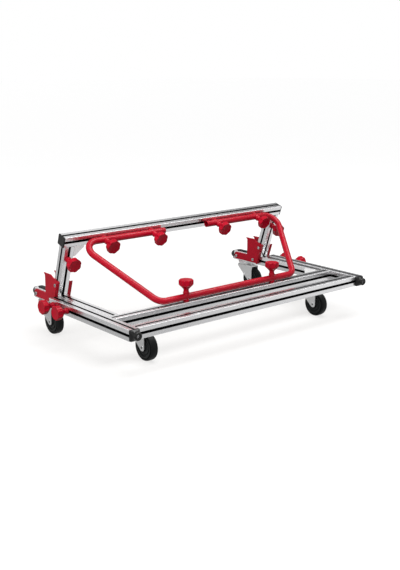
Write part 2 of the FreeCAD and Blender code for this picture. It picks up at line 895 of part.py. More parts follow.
def build_knobs(brace_faces):
    brace_knob = knob("brace_knob_pattern", "sleeve_reach + stud_reach")
    names = ["low_left", "low_right", "top_left_outer", "top_left_inner"]
    names += ["top_right_inner", "top_right_outer"]
    for name, face in zip(names, brace_faces):
        copy_of(brace_knob, "knob_" + name, lifted(face, d.sleeve_reach + d.knob_gap))
    post_knob = knob("post_knob_pattern", "stud_reach")
    side_knob = knob("side_knob_pattern", "profile + slide_gap + stud_reach")
    post_faces = []
    side_faces = []
    for name, side in SIDES:
        face = Placement(on_post(side * d.inner_centre, d.post_knob, d.half), LEAN_FRONT)
        copy_of(post_knob, "knob_post_" + name, lifted(face, d.knob_gap))
        post_faces.append(face)
        for spot, reach in (("front", d.side_knob_front), ("rear", d.side_knob_rear)):
            seat = at(side * (d.outer_centre + d.half), FRONT_Y + reach, RAIL_Z, outward(side))
            copy_of(side_knob, "knob_side_%s_%s" % (name, spot), lifted(seat, d.knob_gap))
            side_faces.append(lifted(seat, -(d.profile + d.slide_gap)))
    return post_faces, side_faces


# Casters
def caster_head():
    """Bearing head, stem and kingpin; Z 0 is the underside of the rail."""
    body = new_body("caster_head_pattern")
    crown = "-(head_high + 2 * bearing_gap + fork_crown)"
    turn(body, "caster_head_form", [
        ("0", "stud_reach"),
        ("stud / 2", "stud_reach"),
        ("stud / 2", "0"),
        ("head_disc / 2", "0"),
        ("head_disc / 2", "-head_rim"),
        ("head_waist / 2", "-head_rim"),
        ("head_waist / 2", "-head_high"),
        ("kingpin / 2", "-head_high"),
        ("kingpin / 2", crown),
        ("king_nut / 2", crown),
        ("king_nut / 2", crown + " - king_nut_high"),
        ("0", crown + " - king_nut_high"),
    ])
    return body


def fork_edge(height):
    """How far back the fork's sloping rear edge lies at a height."""
    out, drop = TANGENT_SHARES
    rise = "(crown_top - fork_skirt + fork_nose * %s)" % drop
    run = "(trail + fork_rear - fork_nose * %s)" % out
    climbed = "(%s + fork_nose * %s)" % (height, drop)
    return "fork_nose * %s + %s * %s / %s" % (out, climbed, run, rise)


def press_sides(body):
    """Sink the middle of both fork legs, which leaves a raised rim."""
    top = "crown_top - fork_skirt"
    front = "-(fork_nose - fork_rim)"
    panel = [
        (front, "fork_press_low"),
        (fork_edge("fork_press_low") + " - 2 * fork_rim", "fork_press_low"),
        (fork_edge("(%s)" % top) + " - 2 * fork_rim", top),
        (front, top),
    ]
    for side, lift, back in (("right", "fork_outside / 2", False), ("left", "-fork_outside / 2", True)):
        sunk = outline(body, "fork_press_" + side, "YZ_Plane", panel, lift)
        cut(body, sunk, "fork_press", middle=False, back=back)


def caster_fork():
    """Pressed fork; its origin is the axle, its swivel is to the rear."""
    body = new_body("fork_pattern")
    rear = "trail + fork_rear"
    out, drop = TANGENT_SHARES
    side = [
        ("-fork_nose", "0"),
        ("fork_nose * %s" % out, "-fork_nose * %s" % drop),
        (rear, "crown_top - fork_skirt"),
        (rear, "crown_top"),
        ("-fork_nose", "crown_top"),
    ]
    pad(body, outline(body, "fork_side", "YZ_Plane", side), "fork_outside", middle=True)
    bends = [V(x, 0, d.crown_top) for x in (-d.fork_outside / 2, d.fork_outside / 2)]
    fillet(body, "fork_bends", Y_DIR, bends, "fork_bend")
    toe = circles(body, "fork_toe", "YZ_Plane", [("0", "0", "2 * fork_nose")])
    pad(body, toe, "fork_outside", middle=True)
    channel = [
        ("-fork_inside / 2", "-wheel"),
        ("fork_inside / 2", "-wheel"),
        ("fork_inside / 2", "crown_top - fork_crown"),
        ("-fork_inside / 2", "crown_top - fork_crown"),
    ]
    cut(body, outline(body, "fork_channel", "XZ_Plane", channel))
    press_sides(body)
    disc = circles(body, "fork_disc", "XY_Plane", [("0", "trail", "fork_disc")], "crown_top")
    pad(body, disc, "fork_crown", back=True)
    pin = circles(body, "fork_king", "XY_Plane", [("0", "trail", "kingpin + 2 * running_gap")])
    cut(body, pin)
    cut(body, circles(body, "fork_axle", "YZ_Plane", [("0", "0", "axle + 2 * running_gap")]))
    return body


def caster_axle():
    body = new_body("axle_pattern")
    outer = "fork_outside / 2"
    lip = outer + " + axle_flange_thick"
    turn(body, "axle_form", [
        ("axle_bore / 2", "-(%s)" % lip),
        ("axle_flange / 2", "-(%s)" % lip),
        ("axle_flange / 2", "-" + outer),
        ("axle / 2", "-" + outer),
        ("axle / 2", outer),
        ("axle_flange / 2", outer),
        ("axle_flange / 2", lip),
        ("axle_bore / 2", lip),
    ])
    return body


def both_faces(corners):
    """Mirror a half section about the wheel's middle plane."""
    return corners + [(across, "-(%s)" % along) for across, along in reversed(corners)]


def wheel_hub():
    body = new_body("hub_pattern")
    turn(body, "hub_form", both_faces([
        ("axle / 2 + running_gap", "wheel_wide / 2"),
        ("hub_boss / 2", "wheel_wide / 2"),
        ("hub_boss / 2", "hub_web / 2"),
        ("hub_step / 2", "hub_web / 2"),
        ("hub_step / 2 + hub_lip / 2", "tyre_wide / 2 - hub_lip / 2"),
        ("hub_rim / 2 - hub_lip", "tyre_wide / 2 - hub_lip / 2"),
        ("hub_rim / 2 - hub_lip", "tyre_wide / 2"),
        ("hub_rim / 2", "tyre_wide / 2"),
    ]))
    return body


def wheel_tyre():
    body = new_body("tyre_pattern")
    turn(body, "tyre_form", both_faces([
        ("hub_rim / 2 + bond_gap", "tyre_wide / 2"),
        ("hub_rim / 2 + tyre_shoulder", "tyre_wide / 2"),
        ("hub_rim / 2 + tyre_shoulder + tyre_groove", "tyre_wide / 2 - tyre_groove"),
        ("wheel / 2 - tyre_shoulder / 2", "tyre_wide / 2 - tyre_groove"),
        ("wheel / 2 - tyre_shoulder / 6", "tyre_tread / 2 + tyre_groove"),
        ("wheel / 2", "tyre_tread / 4"),
    ]))
    return body


def build_casters(nut):
    head = caster_head()
    fork = caster_fork()
    axle = caster_axle()
    hub = wheel_hub()
    tyre = wheel_tyre()
    underside = d.caster_height
    rear_swivel = REAR_Y - d.caster_inset
    spots = []
    for name, side in SIDES:
        spots.append(("front_" + name, side * d.front_caster, MIDDLE_Y))
        spots.append(("rear_" + name, side * d.inner_centre, rear_swivel))
    nuts = []
    heads = []
    for name, x, y in spots:
        heads.append((head, at(x, y, underside)))
        nuts.append((nut, at(x, y, underside, Rotation(X_DIR, 180))))
        hold = at(x, y - d.trail, d.wheel / 2)
        spin = at(x, y - d.trail, d.wheel / 2, TO_RIGHT)
        copy_of(fork, "fork_" + name, hold)
        copy_of(axle, "axle_" + name, spin)
        copy_of(hub, "hub_" + name, spin)
        copy_of(tyre, "tyre_" + name, spin)
    group("caster_heads", heads)
    return nuts


def build_all():
    build_rails()
    bolt_reach = "slot_lip + nut_gap + nut_thick + stud_tip"
    bolt = headed(
        "bolt_pattern", "bolt_head", "bolt_head_high", "bolt_shank",
        "plate_thick + " + bolt_reach, "bolt_socket", "bolt_socket_deep",
    )
    gusset_bolt = headed(
        "gusset_bolt_pattern", "bolt_head", "bolt_head_high", "bolt_shank",
        "gusset_foot + " + bolt_reach,
    )
    screw = headed(
        "bumper_screw_pattern", "screw_head", "screw_head_high", "screw_shank",
        "bumper_length - bumper_sink - screw_head_high + screw_grip", "screw_socket", "screw_socket_deep",
    )
    nut = slot_nut("slot_nut_pattern")
    nuts = build_brackets(bolt, nut)
    nuts += build_gussets(gusset_bolt, nut)
    build_ends(screw)
    build_end_screws()
    brace_faces = build_brace(nut)
    post_faces, side_faces = build_knobs(brace_faces)
    nuts += [(nut, face) for face in post_faces]
    nuts += build_casters(nut)
    group("slot_nuts", nuts)
    group("side_clamp_nuts", [(nut, face) for face in side_faces])


def check_all():
    """Stop before writing anything if an object failed."""
    doc.recompute()
    for item in doc.Objects:
        state = " ".join(item.State)
        if "Invalid" in state or "Error" in state:
            raise RuntimeError("%s is %s" % (item.Label, state))
    for node in NODES:
        shape = node.Shape
        if shape.isNull() or not shape.isValid() or not shape.Solids:
            raise RuntimeError("%s has no sound shape" % node.Label)


def write_all():
    os.makedirs("parts", exist_ok=True)
    for node in NODES:
        node.Shape.exportStep("parts/%s.step" % node.Label)
    box = FreeCAD.BoundBox()
    for node in NODES:
        box.add(node.Shape.BoundBox)
    print("nodes", len(NODES))
    print("X %.2f to %.2f" % (box.XMin, box.XMax))
    print("Y %.2f to %.2f" % (box.YMin, box.YMax))
    print("Z %.2f to %.2f" % (box.ZMin, box.ZMax))


build_all()
check_all()
write_all()
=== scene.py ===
# %% [markdown]
# # Dressing the slab cart
# The cart is already built as solids: rails, posts, brackets, a bent brace, knobs and
# casters. This lesson loads those solids as a fixed frame and gives them their looks.
# Rails keep their solid shape and get a finish. Round and moulded pieces are made again
# with smooth surfaces, in the same place, and take over from the plain solid.

# %% Load the frame
import json
import math

import bmesh
import bpy
import numpy as np
from mathutils import Euler, Matrix, Vector

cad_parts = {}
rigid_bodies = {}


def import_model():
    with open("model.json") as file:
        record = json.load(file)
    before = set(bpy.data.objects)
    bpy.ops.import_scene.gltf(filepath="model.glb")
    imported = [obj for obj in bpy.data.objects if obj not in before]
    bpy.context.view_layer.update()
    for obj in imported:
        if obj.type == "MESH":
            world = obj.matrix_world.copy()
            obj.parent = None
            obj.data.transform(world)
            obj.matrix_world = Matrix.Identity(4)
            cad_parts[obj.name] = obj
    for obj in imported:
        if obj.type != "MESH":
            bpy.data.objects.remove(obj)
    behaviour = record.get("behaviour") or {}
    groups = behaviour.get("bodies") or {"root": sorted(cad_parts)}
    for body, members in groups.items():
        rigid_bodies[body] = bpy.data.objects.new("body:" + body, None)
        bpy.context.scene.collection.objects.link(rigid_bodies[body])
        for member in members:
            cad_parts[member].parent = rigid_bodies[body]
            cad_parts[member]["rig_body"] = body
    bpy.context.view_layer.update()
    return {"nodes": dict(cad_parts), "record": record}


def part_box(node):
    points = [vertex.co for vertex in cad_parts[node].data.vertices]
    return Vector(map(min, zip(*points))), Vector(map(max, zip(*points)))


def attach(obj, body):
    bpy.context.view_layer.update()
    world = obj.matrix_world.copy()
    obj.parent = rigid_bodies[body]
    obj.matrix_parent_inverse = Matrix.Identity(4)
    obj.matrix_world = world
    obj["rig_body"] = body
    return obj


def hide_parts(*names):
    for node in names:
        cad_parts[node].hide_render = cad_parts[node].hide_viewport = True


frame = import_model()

MM = 0.001
nodes = frame["nodes"]

# %% [markdown]
# ## Camera
# The photograph shows the cart from its front left corner, from a little above the top
# rail. The place and the lens were found by fitting straight lines of the rails, so they
# are written down here as plain numbers.

# %% Camera at the photograph's angle
camera_data = bpy.data.cameras.new("photo_camera")
camera = bpy.data.objects.new("photo_camera", camera_data)
bpy.context.scene.collection.objects.link(camera)
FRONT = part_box("outer_rail_left")[0].y
camera.location = (-2.1013, FRONT - 2.1856, 1.0088)
camera.rotation_euler = (math.radians(75.40), 0.0, math.radians(-39.81))
camera_data.sensor_fit = "VERTICAL"
camera_data.sensor_height = 36.0
camera_data.lens = 54.08
camera_data.clip_end = 100.0
bpy.context.scene.camera = camera
print("camera at", tuple(camera.location), "lens", camera_data.lens)

# %% [markdown]
# ## Shader sums as Python sums
# A material is a graph of nodes. Written out one node at a time, even `1 - mask` takes
# several lines. A small class that holds one socket lets Python's own operators add the
# Math nodes, and one method makes every other kind of node.

# %% One class for shader sockets
class Wire:
    """A shader socket that can be used in sums."""

    def __init__(self, tree, socket=None):
        self.tree = tree
        self.socket = socket

    def node(self, kind, settings=None, inputs=None, out=0):
        """Add a node: settings first, then values or links, and return one output."""
        made = self.tree.nodes.new(kind)
        for key, value in (settings or {}).items():
            if key == "stops":
                ramp = made.color_ramp.elements
                while len(ramp) < len(value):
                    ramp.new(1.0)
                for element, (place, colour) in zip(ramp, value):
                    element.position = place
                    element.color = colour
            else:
                setattr(made, key, value)
        for key, value in (inputs or {}).items():
            if isinstance(value, Wire):
                self.tree.links.new(value.socket, made.inputs[key])
            else:
                made.inputs[key].default_value = value
        return Wire(self.tree, made.outputs[out])

    def sum(self, operation, first, second):
        return self.node("ShaderNodeMath", {"operation": operation}, {0: first, 1: second})

    def __add__(self, other):
        return self.sum("ADD", self, other)

    def __radd__(self, other):
        return self.sum("ADD", other, self)

    def __sub__(self, other):
        return self.sum("SUBTRACT", self, other)

    def __rsub__(self, other):
        return self.sum("SUBTRACT", other, self)

    def __mul__(self, other):
        return self.sum("MULTIPLY", self, other)

    def __rmul__(self, other):
        return self.sum("MULTIPLY", other, self)

    def __abs__(self):
        return self.node("ShaderNodeMath", {"operation": "ABSOLUTE"}, {0: self})

    def larger(self, other):
        return self.sum("MAXIMUM", self, other)

    def smaller(self, other):
        return self.sum("MINIMUM", self, other)

    def spread(self, low, high):
        """Ease from 0 to 1 as this goes from low to high."""
        return self.node(
            "ShaderNodeMapRange", {"interpolation_type": "SMOOTHSTEP"},
            {"Value": self, "From Min": low, "From Max": high},
        )

    def noise(self, scale, detail=3.0, rough=0.5):
        """Noise read at this place."""
        return self.node(
            "ShaderNodeTexNoise", None,
            {"Vector": self, "Scale": scale, "Detail": detail, "Roughness": rough},
        )

    def tint(self, first, second):
        """Colour between two colours by this value."""
        return self.node(
            "ShaderNodeMix", {"data_type": "RGBA", "blend_type": "MIX"},
            {"Factor": self, 6: first, 7: second}, out=2,
        )

    def axes(self):
        """The three parts of a vector."""
        parts = self.tree.nodes.new("ShaderNodeSeparateXYZ")
        self.tree.links.new(self.socket, parts.inputs[0])
        return [Wire(self.tree, socket) for socket in parts.outputs]


print("a Wire can", ", ".join(name for name in vars(Wire) if not name.startswith("_")))

# %% Start a finish and feed its shader
def start_finish(name, **constants):
    """New material, its shader and its Object coordinates."""
    material = bpy.data.materials.new(name)
    material.use_nodes = True
    tree = material.node_tree
    shader = tree.nodes["Principled BSDF"]
    for key, value in constants.items():
        shader.inputs[key.replace("_", " ")].default_value = value
    place = Wire(tree).node("ShaderNodeTexCoord", out="Object")
    return material, shader, place


def feed(shader, place, **links):
    """Link wires to the shader's sockets."""
    for key, wire in links.items():
        place.tree.links.new(wire.socket, shader.inputs[key.replace("_", " ")])


def raised(place, height, depth, strength=1.0):
    """Bump from a height of 0 to 1 that stands for a depth in metres."""
    return place.node(
        "ShaderNodeBump", None,
        {"Height": height, "Distance": depth, "Strength": strength},
    )


print("helpers", start_finish.__name__, feed.__name__, raised.__name__)

# %% [markdown]
# ## Polished rails
# The rails are extruded aluminium, polished bright. The die leaves fine lines along the
# bar. The slots are deep, and their shade is painted into the colour: black inside each
# slot and on a narrow strip of face at its lips, which is a painted dark reflection. Both
# follow the bar's own cross section, so a Mapping node first turns Object coordinates
# into the bar's frame: X and Y across, Z along. Depth below the skin then says where a
# slot is.

# %% Rail finish
HALF = 20 * MM
BRIGHT = (0.86, 0.86, 0.87, 1.0)
DULL = (0.70, 0.70, 0.71, 1.0)
# Painted shade: the black painted into the slots and onto a strip at their lips
SLOT_SHADE_BLACK = (0.006, 0.006, 0.007, 1.0)


def rail_finish(name, centre, turn):
    """Polished extrusion whose axis goes through a point with a given turn."""
    material, shader, place = start_finish(name, Metallic=1.0)
    local = place.node(
        "ShaderNodeMapping", {"vector_type": "TEXTURE"},
        {"Vector": place, "Location": centre, "Rotation": turn},
    )
    across, over, along = local.axes()
    depth = HALF - abs(across).larger(abs(over))
    beside = abs(across).smaller(abs(over))
    # Painted shade: the colour turns black deep in a slot and on the face within 5.2 mm of its middle, a
    # painted dark reflection of the lips
    slot = depth.spread(0.4 * MM, 2.2 * MM).larger(1.0 - beside.spread(4.7 * MM, 5.2 * MM))
    # Painted shade: the rounded corners are tinted toward the duller grey to tone down their bright edge
    # highlight, and they are also made rougher
    corner = beside.spread(17.6 * MM, 18.8 * MM)
    lines = place.node(
        "ShaderNodeCombineXYZ", None, {0: across * 300.0, 1: over * 300.0, 2: along * 1.5},
    ).noise(1.0, 3.0, 0.6)
    scuffs = local.noise(38.0, 4.0, 0.6).spread(0.52, 0.72)
    metal = (lines * 0.5 + scuffs * 0.3 + corner * 0.5).tint(BRIGHT, DULL)
    feed(
        shader, place,
        Base_Color=slot.tint(metal, SLOT_SHADE_BLACK),
        Roughness=0.24 + lines * 0.06 + scuffs * 0.05 + (slot * 0.5).larger(corner * 0.42),
        Normal=raised(place, lines, 0.001 * MM),
    )
    return material


print("bars are", 2 * HALF / MM, "mm wide")

# %% [markdown]
# ## Crowned rails
# An extruded strip is never dead flat: it is crowned by a hair, and that turns a hard
# reflection into a soft band. Modelling the crown would need many faces. Instead a copy
# of each solid gets its own corner normals: they lean out by a few degrees at both sides
# of a strip and run on round the corner, so the flat faces shade like a drawn bar.

# %% Normals of a crowned bar
CROWN = math.radians(3.0)
FLAT = 18.4 * MM
STRIP_MIDDLE = 11.25 * MM
SKIN = 0.05 * MM


def on_skin(spot):
    """Is a point of the bar's frame on its outside?"""
    a, b = abs(spot.x), abs(spot.y)
    if a > FLAT and b > FLAT:
        return math.hypot(a - FLAT, b - FLAT) > HALF - FLAT - SKIN
    return max(a, b) > HALF - SKIN


def crowned_normal(spot):
    """Outward direction of the crowned skin, in the bar's frame."""
    a, b = abs(spot.x), abs(spot.y)
    right = math.pi / 2
    if a > FLAT and b > FLAT:
        lean = CROWN + (1 - 2 * CROWN / right) * math.atan2(a - FLAT, b - FLAT)
    elif b > a:
        lean = CROWN * (a - STRIP_MIDDLE) / (FLAT - STRIP_MIDDLE)
    else:
        lean = right - CROWN * (b - STRIP_MIDDLE) / (FLAT - STRIP_MIDDLE)
    return Vector((math.copysign(math.sin(lean), spot.x), math.copysign(math.cos(lean), spot.y), 0))


print("normals lean by", round(math.degrees(CROWN), 2), "degrees at the sides of a strip")

# %% Copies of the rails with leaning normals
def stand_for(piece, node):
    """Let a piece take over from a solid, on that solid's body."""
    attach(piece, nodes[node]["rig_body"])
    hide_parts(node)


def middle_of(node):
    low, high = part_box(node)
    return (low + high) / 2


def crowned(node, centre, turn):
    """Copy of a rail that shades as a crowned bar and stands for it."""
    mesh = nodes[node].data.copy()
    work = bmesh.new()
    work.from_mesh(mesh)
    bmesh.ops.remove_doubles(work, verts=work.verts, dist=0.01 * MM)
    work.to_mesh(mesh)
    work.free()
    ahead = Euler(turn).to_matrix()
    back = ahead.transposed()
    spots = [back @ (vert.co - centre) for vert in mesh.vertices]
    normals = []
    for face in mesh.polygons:
        outside = all(on_skin(spots[i]) for i in face.vertices) and abs((back @ face.normal).z) < 0.01
        for i in face.vertices:
            normals.append(ahead @ crowned_normal(spots[i]) if outside else face.normal.copy())
    mesh.shade_smooth()
    mesh.normals_split_custom_set(normals)
    mesh.materials.clear()
    mesh.materials.append(rail_finish(node + "_finish", centre, turn))
    piece = bpy.data.objects.new(node + "_crowned", mesh)
    bpy.context.scene.collection.objects.link(piece)
    stand_for(piece, node)


LEAN = math.radians(18.6)
ALONG_X = (0.0, math.radians(90), 0.0)
ALONG_Y = (math.radians(-90), 0.0, 0.0)
RAIL_TOP = 166 * MM
POST_OFFSET = 520 * MM
POST_REACH = 533.46 * MM
POST_FOOT = Vector((0.0, FRONT + POST_REACH, RAIL_TOP))
tilt_x = (Euler((LEAN, 0, 0)).to_matrix() @ Euler(ALONG_X).to_matrix()).to_euler()
rails = [(rail, middle_of(rail), ALONG_X) for rail in ("front_rail", "middle_rail")]
rails.append(("top_rail", middle_of("top_rail"), tilt_x))
for side, sign in (("left", -1), ("right", 1)):
    rails += [(rail + side, middle_of(rail + side), ALONG_Y) for rail in ("outer_rail_", "inner_rail_")]
    rails.append(("post_" + side, POST_FOOT + Vector((sign * POST_OFFSET, 0, 0)), (LEAN, 0.0, 0.0)))
for rail, centre, turn in rails:
    crowned(rail, centre, turn)
print("crowned", len(rails))

# %% [markdown]
# ## Red paint and red plastic
# The brace and brackets are powder coated: a gloss red with a faint orange-peel skin.
# The knobs are moulded in the same red with a weaker shine. Plain gloss would do, but here
# a clear coat lies over a base with no shine of its own, so the width and strength of a
# highlight can be set without touching the depth of the colour.

# %% Red finishes
RED = (0.30, 0.0007, 0.0110, 1.0)
DEEP_RED = (0.25, 0.0006, 0.0085, 1.0)


def red_finish(name, rough, coat, peel_scale, peel_depth):
    """Red base under a clear coat, with a bumpy skin."""
    material, shader, place = start_finish(
        name, Metallic=0.0, Coat_Roughness=0.26, Coat_IOR=1.38, Specular_IOR_Level=0.0,
    )
    cloud = place.noise(9.0, 3.0)
    peel = place.noise(peel_scale, 2.0)
    feed(
        shader, place,
        Base_Color=cloud.spread(0.3, 0.7).tint(RED, DEEP_RED),
        Roughness=rough + cloud * 0.08,
        Coat_Weight=coat - cloud * 0.1,
        Normal=raised(place, peel, peel_depth, 0.6),
    )
    return material


red_paint = red_finish("red_powder_coat", 0.30, 0.64, 420.0, 0.008 * MM)
red_plastic = red_finish("red_moulding", 0.26, 0.52, 900.0, 0.006 * MM)
print(red_paint.name, red_plastic.name)

# %% [markdown]
# ## Black plastic and rubber
# Caps, bumpers and hubs are moulded plastic, tyres and pads are rubber. All are nearly
# black, and what tells them apart is how they shine. Picture textures would need every
# piece unwrapped, so one function makes them all from noise: a slow cloud for colour and
# gloss, and a fine grain for the skin.

# %% Black finishes
def black_finish(name, dark, light, rough, grain, depth, shine):
    """Near-black base with a fine grain."""
    material, shader, place = start_finish(name, Metallic=0.0, Specular_IOR_Level=shine)
    fine = place.noise(grain, 3.0)
    cloud = place.noise(22.0, 3.0)
    feed(
        shader, place,
        Base_Color=cloud.spread(0.35, 0.7).tint(dark, light),
        Roughness=rough + cloud * 0.12,
        Normal=raised(place, fine, depth, 0.4),
    )
    return material


black_plastic = black_finish(
    "black_moulding", (0.003, 0.003, 0.003, 1), (0.006, 0.006, 0.006, 1), 0.20, 1500.0, 0.02 * MM, 0.32)
tyre_rubber = black_finish(
    "tyre_rubber", (0.004, 0.0045, 0.0045, 1), (0.008, 0.0085, 0.0085, 1), 0.42, 1100.0, 0.06 * MM, 0.11)
hub_plastic = black_finish(
    "hub_moulding", (0.006, 0.0065, 0.0065, 1), (0.011, 0.012, 0.012, 1), 0.36, 1300.0, 0.04 * MM, 0.16)
pad_rubber = black_finish(
    "pad_rubber", (0.005, 0.005, 0.005, 1), (0.009, 0.009, 0.009, 1), 0.50, 900.0, 0.08 * MM, 0.15)
print(black_plastic.name, tyre_rubber.name, hub_plastic.name, pad_rubber.name)

# %% [markdown]
# ## Plated and cast metal
# Forks and caster heads are zinc plated, the corner pieces are castings and the screws
# are bright steel. Plating and casting both leave small patches that shine a little
# differently. A Voronoi texture gives each patch one value, which noise alone can't do,
# and noise adds the fine grain.

# %% Plated and cast metal
def metal_finish(name, light, dark, rough, grain, depth, metallic=1.0):
    """Metal in small patches, with a fine grain."""
    material, shader, place = start_finish(name, Metallic=metallic)
    spangle = place.node(
        "ShaderNodeTexVoronoi", {"feature": "F1"}, {"Vector": place, "Scale": grain}, out="Color",
    ).axes()[0]
    fine = place.noise(grain * 4, 3.0)
    feed(
        shader, place,
        Base_Color=(spangle * 0.6 + fine * 0.4).tint(light, dark),
        Roughness=rough + spangle * 0.10,
        Normal=raised(place, fine, depth, 0.6),
    )
    return material


zinc = metal_finish(
    "zinc_plate", (0.78, 0.78, 0.78, 1), (0.66, 0.66, 0.66, 1), 0.30, 260.0, 0.02 * MM)
bright_steel = metal_finish(
    "bright_steel", (0.56, 0.56, 0.57, 1), (0.45, 0.45, 0.46, 1), 0.34, 500.0, 0.02 * MM)
casting = metal_finish(
    "cast_grey", (0.94, 0.94, 0.94, 1), (0.87, 0.87, 0.87, 1), 0.40, 420.0, 0.04 * MM, 0.85)
print(zinc.name, bright_steel.name, casting.name)

# %% [markdown]
# ## Softened copies of the pressed and cast solids
# No real plate or casting has knife edges. A copy of the solid gets its doubled points
# merged, its flat faces joined, and a narrow bevel, and then it stands for the solid.
# The Bevel shader node could fake such edges in a render, but an exported mesh would lose
# them, so the modifier cuts real ones.

# %% Copies with rounded edges
def plain_mesh(source, name):
    """Evaluate an object with its modifiers into a new object with none."""
    graph = bpy.context.evaluated_depsgraph_get()
    mesh = bpy.data.meshes.new_from_object(source.evaluated_get(graph), depsgraph=graph)
    mesh.name = name
    piece = bpy.data.objects.new(name, mesh)
    bpy.context.scene.collection.objects.link(piece)
    bpy.data.objects.remove(source)
    return piece


def shade(piece, degrees=32):
    mesh = piece.data
    mesh.shade_smooth()
    mesh.set_sharp_from_angle(angle=math.radians(degrees))


def softened(node, material, width, segments=2):
    """A bevelled copy of a solid that stands for it on its own body."""
    mesh = nodes[node].data.copy()
    work = bmesh.new()
    work.from_mesh(mesh)
    bmesh.ops.remove_doubles(work, verts=work.verts, dist=0.01 * MM)
    flat = math.radians(0.6)
    bmesh.ops.dissolve_limit(work, angle_limit=flat, verts=work.verts, edges=work.edges)
    work.to_mesh(mesh)
    work.free()
    mesh.shade_smooth()
    piece = bpy.data.objects.new(node + "_soft", mesh)
    bpy.context.scene.collection.objects.link(piece)
    mesh.materials.clear()
    mesh.materials.append(material)
    bevel = piece.modifiers.new("edge", "BEVEL")
    bevel.width = width
    bevel.segments = segments
    bevel.limit_method = "ANGLE"
    bevel.angle_limit = math.radians(40)
    bevel.harden_normals = True
    even = piece.modifiers.new("even", "WEIGHTED_NORMAL")
    even.keep_sharp = True
    piece = plain_mesh(piece, node + "_dressed")
    stand_for(piece, node)
    return piece


SIDES = ("left", "right")
CORNERS = ("front_left", "front_right", "rear_left", "rear_right")
soft_list = []
for side in SIDES:
    for way in ("outer", "inner"):
        soft_list.append(("bracket_%s_%s" % (side, way), red_paint, 0.7, "red_paint"))
for place in ("base", "head"):
    soft_list.append((place + "_gussets", casting, 0.8, "cast_aluminium"))
soft_list.append(("top_rail_caps", black_plastic, 1.4, "black_plastic"))
soft_list.append(("outer_rail_caps", black_plastic, 0.8, "black_plastic"))
soft_list.append(("seat_pads", pad_rubber, 1.2, "black_rubber"))
soft_list.append(("caster_heads", zinc, 0.8, "zinc_steel"))
for corner in CORNERS:
    soft_list.append(("fork_" + corner, zinc, 0.5, "zinc_steel"))
for node, material, width, slot_name in soft_list:
    softened(node, material, width * MM)
print("softened", len(soft_list))

# %% [markdown]
# ## Turned pieces
# Tyres, hubs, axles, sleeves and knobs are all spun from a profile. One function takes a
# list of radius and height points, rounds its corners by cutting them, and spins it. The
# Screw modifier can spin a profile too, but a function can also change each ring by a
# rule, and the lobes of the knob need that.

# %% A lathe
def rounded(profile, passes=2, hold=0.25):
    """Cut the corners of an open profile; points marked sharp stay."""
    points = [Vector((p[0], p[1])) for p in profile]
    sharp = [len(p) > 2 for p in profile]
    for _ in range(passes):
        new_points = [points[0]]
        new_sharp = [True]
        for i in range(1, len(points) - 1):
            if sharp[i]:
                new_points.append(points[i])
                new_sharp.append(True)
            else:
                new_points.append(points[i].lerp(points[i - 1], hold))
                new_points.append(points[i].lerp(points[i + 1], hold))
                new_sharp += [False, False]
        new_points.append(points[-1])
        new_sharp.append(True)
        points, sharp = new_points, new_sharp
    return points


def lathe(name, profile, matrix, material, steps=72, ring_rule=None):
    """Spin a profile in millimetres about its own Z and place it."""
    work = bmesh.new()
    rings = []
    for point in profile:
        radius, height = point.x, point.y
        if radius < 1e-6:
            rings.append([work.verts.new((0, 0, height * MM))])
            continue
        ring = []
        for i in range(steps):
            angle = 2 * math.pi * i / steps
            reach = ring_rule(radius, angle) if ring_rule else radius
            spot = (reach * math.cos(angle) * MM, reach * math.sin(angle) * MM, height * MM)
            ring.append(work.verts.new(spot))
        rings.append(ring)
    for lower, upper in zip(rings, rings[1:]):
        for i in range(steps):
            j = (i + 1) % steps
            around = ((lower, i), (lower, j), (upper, j), (upper, i))
            corners = [ring[k % len(ring)] for ring, k in around]
            corners = list(dict.fromkeys(corners))
            if len(corners) > 2:
                work.faces.new(corners)
    bmesh.ops.recalc_face_normals(work, faces=work.faces)
    work.transform(matrix)
    mesh = bpy.data.meshes.new(name)
    work.to_mesh(mesh)
    work.free()
    mesh.materials.append(material)
    piece = bpy.data.objects.new(name, mesh)
    bpy.context.scene.collection.objects.link(piece)
    shade(piece, 40)
    return piece


print("a corner rounds to", len(rounded([(0, 0), (1, 0), (1, 1)])) - 2, "points")

# %% [markdown]
# ## Knobs
# A star knob has seven lobes, a slim neck that opens into the head like a funnel, and a
# slightly dished face. Each ring is pulled in where a round cutter of 20 mm radius would
# bite 3.4 mm into the head, and the edge of the bite is blended so that the lobes stay
# round. A Boolean cut would leave that edge sharp. The record's joints say where each knob
# sits and which way it points.

# %% Star knobs
LOBES = 7
HEAD_R, BITE, CUTTER, SOFT = 27.5, 3.4, 20.0, 0.9
KNOB_FORM = [
    (0, 0, 1), (11.4, 0), (12, 0.4), (12, 3.6), (10.2, 6.6), (9.6, 9.5), (9.6, 13.5), (10.4, 16.2),
    (15.0, 21.0), (24.0, 30.2), (26.8, 32.6), (27.5, 35.6), (27.5, 47.8), (26.9, 50.0), (24.8, 51.0),
    (21.4, 51.0), (19.8, 50.2), (9.0, 49.5), (0, 49.3, 1),
]


def lobed(radius, angle):
    """Radius of a ring after the seven bites, with a soft edge."""
    pitch = 2 * math.pi / LOBES
    off = (angle + pitch / 2) % pitch - pitch / 2
    centre = HEAD_R - BITE + CUTTER
    under = CUTTER ** 2 - (centre * math.sin(off)) ** 2
    if under <= 0:
        return radius
    bitten = centre * math.cos(off) - math.sqrt(under)
    share = max(0.0, min(1.0, 0.5 + 0.5 * (bitten - radius) / SOFT))
    return bitten * (1 - share) + radius * share - SOFT * share * (1 - share)


